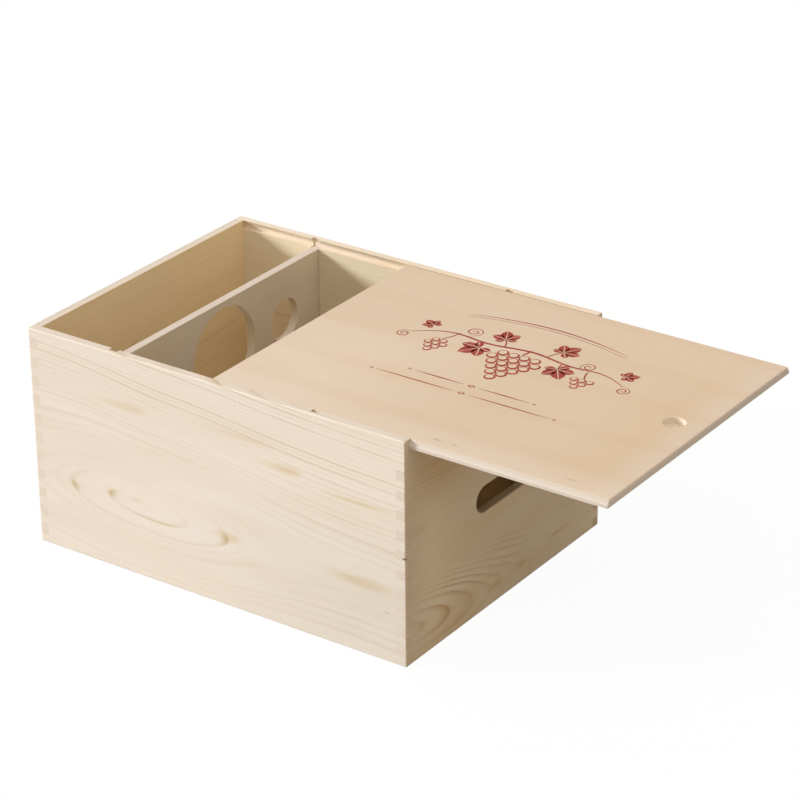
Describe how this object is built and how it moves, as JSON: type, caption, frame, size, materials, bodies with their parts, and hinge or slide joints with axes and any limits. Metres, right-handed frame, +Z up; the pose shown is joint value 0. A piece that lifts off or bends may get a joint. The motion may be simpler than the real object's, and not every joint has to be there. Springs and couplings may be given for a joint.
{
  "type": "wooden wine box",
  "caption": "Finger-jointed pine box with a sliding bevelled lid, hand holes in its end walls and notched cross dividers that cradle bottles lying along its length.",
  "frame": {"origin": "centre of the base, on the underside of the floor", "axes": "+X along the length towards the end where the lid slides out, +Y towards the back wall, +Z up"},
  "size_m": [0.5295, 0.275, 0.19],
  "materials": {
    "pine": "planed, unvarnished",
    "lid_veneer": "sanded smooth",
    "divider_board": "sanded smooth"
  },
  "bodies": {
    "case": {"front_wall": "pine", "back_wall": "pine", "fixed_end_wall": "pine", "entry_end_wall": "pine", "floor_panel": "pine", "left_divider_lower": "divider_board", "left_divider_middle": "divider_board", "left_divider_upper": "divider_board", "right_divider_lower": "divider_board", "right_divider_middle": "divider_board", "right_divider_upper": "divider_board"},
    "lid": {"lid": "lid_veneer"}
  },
  "joints": [
    {"name": "lid_slide", "type": "slide", "parent": "case", "child": "lid", "axis": [1, 0, 0], "range_m": [-0.1695, 0.1845]}
  ]
}
